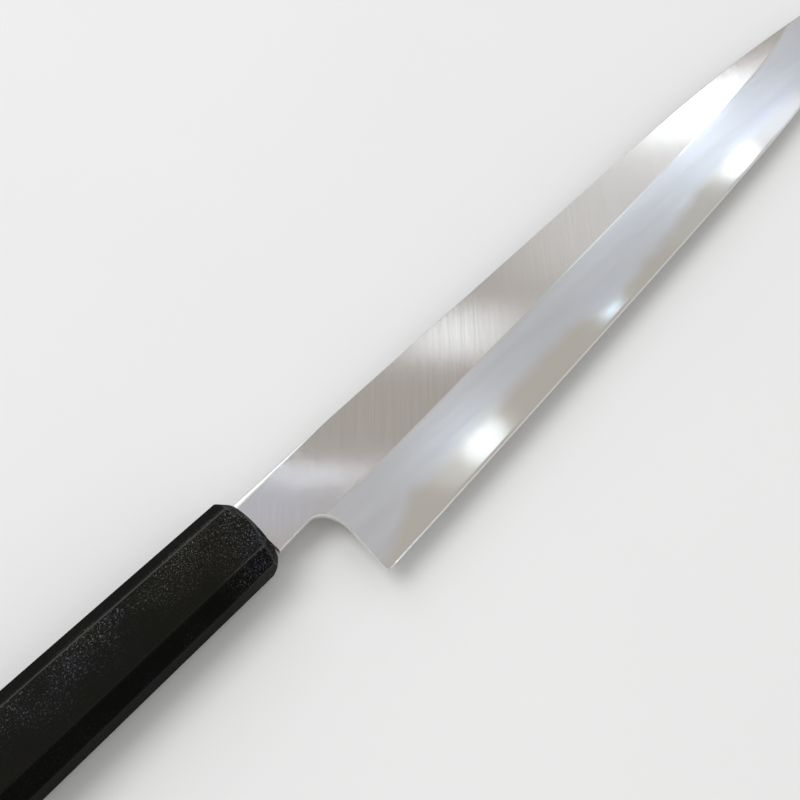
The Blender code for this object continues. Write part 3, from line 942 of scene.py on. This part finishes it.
def block_rings(front_x, back_x, front_radius=None, back_radius=None):
    """Rings of a stretch of handle; a radius gives that end its turned chamfer."""
    places = []
    if front_radius:
        places += [(front_x - point.x, point.y) for point in turned_end(front_radius)]
    start = places[-1][0] if places else front_x
    tail = []
    if back_radius:
        tail = [(back_x + point.x, point.y) for point in turned_end(back_radius)][::-1]
    stop = tail[0][0] if tail else back_x
    body = [(mix(start, stop, step / BODY_RINGS), 1.0) for step in range(BODY_RINGS + 1)]
    places += body[1:] if places else body
    places = places[:-1] + tail if tail else places
    rings = []
    for x, limit in places:
        ring = []
        for point, cornerness in octagon_outline(x):
            reach = soft_min(point.length, limit, RIM_BLEND)
            rim = point.normalized() * reach
            turned = clamp(1 - abs(point.length - limit) / RIM_BLEND, 0.0, 1.0)
            ring.append((Vector((x, HANDLE_CENTRE_Y + rim.x, rim.y)), max(cornerness, turned)))
        rings.append(ring)
    return rings


print("points round the handle:", len(octagon_outline(0.0)))

# %% Blocks of the handle
BORE_RADIUS = 0.0055
BORE_SIDES = 64
FRONT_WALL = 0.006
CLEARANCE = 0.0003
SEAM = 0.00001
FORK_TAIL = 0.006
FORK_ROOT = 0.008
BORE_END_X = -(TANG_LENGTH + CLEARANCE + FORK_TAIL + CLEARANCE) - FORK_ROOT - CLEARANCE
OVERRUN = 0.002
HANDLE_CREASE = 30.0


def subtract(piece, cutter_mesh):
    """Cuts a closed mesh out of a piece, and applies the cut."""
    cutter = close_mesh("cutter", cutter_mesh)
    modifier = piece.modifiers.new("cut", "BOOLEAN")
    modifier.operation = "DIFFERENCE"
    modifier.solver = "EXACT"
    modifier.object = cutter
    with bpy.context.temp_override(object=piece):
        bpy.ops.object.modifier_apply(modifier=modifier.name)
    bpy.data.objects.remove(cutter)


def cut_bore(piece, start_x, end_x):
    """Cuts a round bore along the handle's axis."""
    mesh = bmesh.new()
    cone = {"radius1": BORE_RADIUS, "radius2": BORE_RADIUS, "depth": start_x - end_x}
    bmesh.ops.create_cone(mesh, cap_ends=True, segments=BORE_SIDES, **cone)
    for vertex in mesh.verts:
        x = (start_x + end_x) / 2 + vertex.co.z
        vertex.co = Vector((x, HANDLE_CENTRE_Y + vertex.co.y, vertex.co.x))
    subtract(piece, mesh)


def cut_slot(piece, start_x, end_x, height, width):
    """Cuts a slot with square corners along the handle's axis."""
    mesh = bmesh.new()
    bmesh.ops.create_cube(mesh, size=1.0)
    for vertex in mesh.verts:
        x = (start_x + end_x) / 2 + vertex.co.x * (start_x - end_x)
        y = HANDLE_CENTRE_Y + vertex.co.y * height
        vertex.co = Vector((x, y, vertex.co.z * width))
    subtract(piece, mesh)


def make_block(name, rings):
    """A closed block from rings, with flat ends and each point's cornerness."""
    mesh = bmesh.new()
    corner_layer = mesh.verts.layers.float.new("corner")
    loops = []
    for ring in rings:
        loops.append([mesh.verts.new(point) for point, _ in ring])
        for vertex, (_, cornerness) in zip(loops[-1], ring):
            vertex[corner_layer] = cornerness
    size = len(loops[0])
    for first, second in zip(loops, loops[1:]):
        for index in range(size):
            after = (index + 1) % size
            mesh.faces.new((first[index], first[after], second[after], second[index]))
    mesh.faces.new(loops[0])
    mesh.faces.new(loops[-1])
    return close_mesh(name, mesh)


def shade_block(piece):
    """Smooth shading that keeps the block's real corners crisp."""
    piece.data.shade_smooth()
    piece.data.set_sharp_from_angle(angle=math.radians(HANDLE_CREASE))


front_radius = NECK_HEIGHT / 2 + FRONT_FACE_MARGIN
butt_radius = (FRONT_WIDTH + WIDTH_GROWTH) / 2 - BUTT_FACE_INSET
slot_size = {"height": TANG_HEIGHT + 2 * CLEARANCE, "width": TANG_THICKNESS + 2 * CLEARANCE}

ferrule = make_block("lacquered_ferrule", block_rings(0.0, -FERRULE_LENGTH, front_radius=front_radius))
cut_bore(ferrule, -FRONT_WALL, -FERRULE_LENGTH - OVERRUN)
cut_slot(ferrule, OVERRUN, -FRONT_WALL - OVERRUN, **slot_size)
shade_block(ferrule)

grip_front = -FERRULE_LENGTH - SEAM
grip = make_block("lacquered_grip", block_rings(grip_front, -HANDLE_LENGTH, back_radius=butt_radius))
cut_bore(grip, grip_front + OVERRUN, BORE_END_X)
shade_block(grip)
print("ferrule faces:", len(ferrule.data.polygons), "grip faces:", len(grip.data.polygons))

# %% [markdown]
# ## Black lacquer
# The wood is lacquered black and left satin. The slanting facets carry painted shade, a darker black than
# the flat. Up close it is sandy, and its specks carry painted glints: a lighter colour, some warm and some
# bluish, in drifts that are denser towards the spine's side and at the front end. Where the facets meet,
# the lacquer is smoother, and on the spine's side and at the front end a painted highlight line lightens
# the corner. The mesh carries the corners as a value on its points, 1 on a corner and 0 off it.

# %% Material: black lacquer
# Where the painted glints and the painted corner highlight lie: across the flat, along it, and at the front
# end.
GLINT_ACROSS = (-0.0035, 0.0050)
FLAT_UPPER_END = (0.0062, 0.0070)
FLAT_LOWER_END = (-0.0066, -0.0058)
GLINT_ALONG = (-0.080, -0.045)
GLINT_AT_FRONT = (-0.016, 0.0)
LEAST_LIT = 0.10
LEAST_ALONG = 0.38
LEAST_DRIFT = 0.15
SAND_SHARE = 0.35
# Painted shade: the slanting facets are a darker black than the flat.
FACET_SHADE_BLACK = (0.0042, 0.0042, 0.0038)
FLAT_BLACK = (0.0086, 0.0084, 0.0070)
# Painted glints: the specks' lighter colours, some warm and some bluish.
PAINTED_GLINT_TONES = ((0.145, 0.138, 0.115), (0.110, 0.116, 0.150))
# Painted highlight: the lighter colour of the line along the corners.
CORNER_HIGHLIGHT_BLACK = (0.060, 0.059, 0.054)
LACQUER_ROUGHNESS = (0.40, 0.50)
RUBBED_ROUGHNESS = 0.24


def where_lit(tree):
    """Three masks for painted light: 1 on the flat's spine side in the front half and 1 at the front end,
    for painted glints and highlight, and 1 on the flat, 0 on the facets' painted shade.
    """
    place = add_node(tree, "ShaderNodeTexCoord")
    parts = add_node(tree, "ShaderNodeSeparateXYZ")
    chain(tree, (place.outputs["Object"], parts.inputs["Vector"]))
    front_x, centre_y, _ = laid(0.0, HANDLE_CENTRE_Y)

    def ramp(axis, start, low, high, ends):
        """A value that runs from low to high between two distances from a start on an axis."""
        return map_value(tree, parts.outputs[axis], low, high, start + ends[0], start + ends[1])

    towards_spine = ramp("Y", centre_y, LEAST_LIT, 1.0, GLINT_ACROSS)
    towards_front = ramp("X", front_x, LEAST_ALONG, 1.0, GLINT_ALONG)
    at_front = ramp("X", front_x, 0.0, 1.0, GLINT_AT_FRONT)
    below_upper_end = ramp("Y", centre_y, 1.0, LEAST_LIT, FLAT_UPPER_END)
    above_lower_end = ramp("Y", centre_y, 0.0, 1.0, FLAT_LOWER_END)
    spine_side = calculate(tree, "MULTIPLY", towards_spine, towards_front)
    lit_spine_side = calculate(tree, "MULTIPLY", spine_side, below_upper_end)
    lit_front = calculate(tree, "MULTIPLY", at_front, below_upper_end)
    flat = calculate(tree, "MULTIPLY", below_upper_end, above_lower_end)
    return lit_spine_side, lit_front, flat


def black_lacquer(name, seed):
    """Satin black with painted glints on specks in drifts, painted shade on the facets, and smoother
    corners with a painted highlight line.
    """
    material, tree, shader = new_material(name, Metallic=0.0, Specular_IOR_Level=0.006)
    drifts = use_group(tree, patches, Scale=75.0, Low=0.40, High=0.60, Seed=seed)
    sand = use_group(tree, patches, Scale=4300.0, Low=0.48, High=0.70, Seed=seed + 1.0)
    sparks = use_group(tree, patches, Scale=2700.0, Low=0.56, High=0.66, Seed=seed + 2.0)
    hue = use_group(tree, patches, Scale=60.0, Low=0.42, High=0.58, Seed=seed + 3.0)
    corner = add_node(tree, "ShaderNodeAttribute", attribute_name="corner").outputs["Fac"]
    lit_spine_side, lit_front, flat = where_lit(tree)
    # Painted glints: the specks are painted lighter, in drifts, most on the flat's spine side and at the
    # front end.
    drifting = calculate(tree, "MULTIPLY", map_value(tree, drifts, LEAST_DRIFT, 1.0), lit_spine_side)
    density = calculate(tree, "MAXIMUM", drifting, lit_front)
    specks = calculate(tree, "MAXIMUM", calculate(tree, "MULTIPLY", sand, SAND_SHARE), sparks)
    glint = calculate(tree, "MULTIPLY", specks, density)
    # Painted shade: a darker black on the slanting facets than on the flat.
    ground_and_facet_shade = mix_values(tree, flat, FACET_SHADE_BLACK, FLAT_BLACK)
    colour = mix_values(tree, glint, ground_and_facet_shade, mix_values(tree, hue, *PAINTED_GLINT_TONES))
    # Painted highlight: a lighter line along the corners on the flat's spine side and at the front end; the
    # lower roughness on all corners is real.
    corner_highlight = calculate(tree, "MULTIPLY", corner, calculate(tree, "MAXIMUM", lit_spine_side, lit_front))
    rough = map_value(tree, sand, *LACQUER_ROUGHNESS)
    chain(
        tree,
        (mix_values(tree, corner_highlight, colour, CORNER_HIGHLIGHT_BLACK), shader.inputs["Base Color"]),
        (mix_values(tree, corner, rough, RUBBED_ROUGHNESS, "FLOAT"), shader.inputs["Roughness"]),
    )
    add_bump(tree, shader, specks, strength=0.35, distance=0.00002)
    return material


LACQUER_SEED = 2.0
ferrule.data.materials.append(black_lacquer("black_lacquer_ferrule", LACQUER_SEED))
grip.data.materials.append(black_lacquer("black_lacquer_grip", LACQUER_SEED))
print("finish:", ferrule.data.materials[0].name, "and", grip.data.materials[0].name)

# %% [markdown]
# ## The hidden joint
# A round dowel joins the two blocks and is forked for the tang. Resin fills the fork. Nobody sees them in a
# whole knife, but a cut handle would show them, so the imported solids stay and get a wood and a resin.

# %% Materials: dowel and resin
WOOD_TONES = ((0.36, 0.24, 0.13), (0.56, 0.42, 0.27))
WOOD_ROUGHNESS = (0.62, 0.78)
RESIN_TONES = ((0.48, 0.31, 0.10), (0.62, 0.45, 0.19))
RESIN_ROUGHNESS = (0.28, 0.42)


def bare_wood():
    """Pale hardwood with growth lines along the dowel."""
    growth = (brush_lines, {"Angle": 0.03, "Lines_Per_Metre": 1600.0, "Stretch": 14.0, "Seed": 11.0})
    return even_finish("bare_hardwood", growth, WOOD_TONES, WOOD_ROUGHNESS, strength=0.3, distance=0.00003)


def set_resin():
    """Amber resin with soft clouds."""
    clouds = (patches, {"Scale": 160.0, "Low": 0.3, "High": 0.7, "Seed": 13.0})
    return even_finish("set_resin", clouds, RESIN_TONES, RESIN_ROUGHNESS, strength=0.2, distance=0.00005)


def refinish(node, material):
    """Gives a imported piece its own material."""
    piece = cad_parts[node]
    piece.data.materials.clear()
    piece.data.materials.append(material)


refinish("dowel", bare_wood())
refinish("tang_bedding", set_resin())
print("hidden pieces finished: dowel, tang_bedding")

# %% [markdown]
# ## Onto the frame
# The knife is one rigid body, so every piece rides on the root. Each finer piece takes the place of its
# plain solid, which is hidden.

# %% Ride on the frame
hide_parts("blade")
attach(blade, "root")

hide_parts("ferrule")
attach(ferrule, "root")

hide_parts("grip")
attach(grip, "root")
print("pieces riding on the root: blade, ferrule, grip")
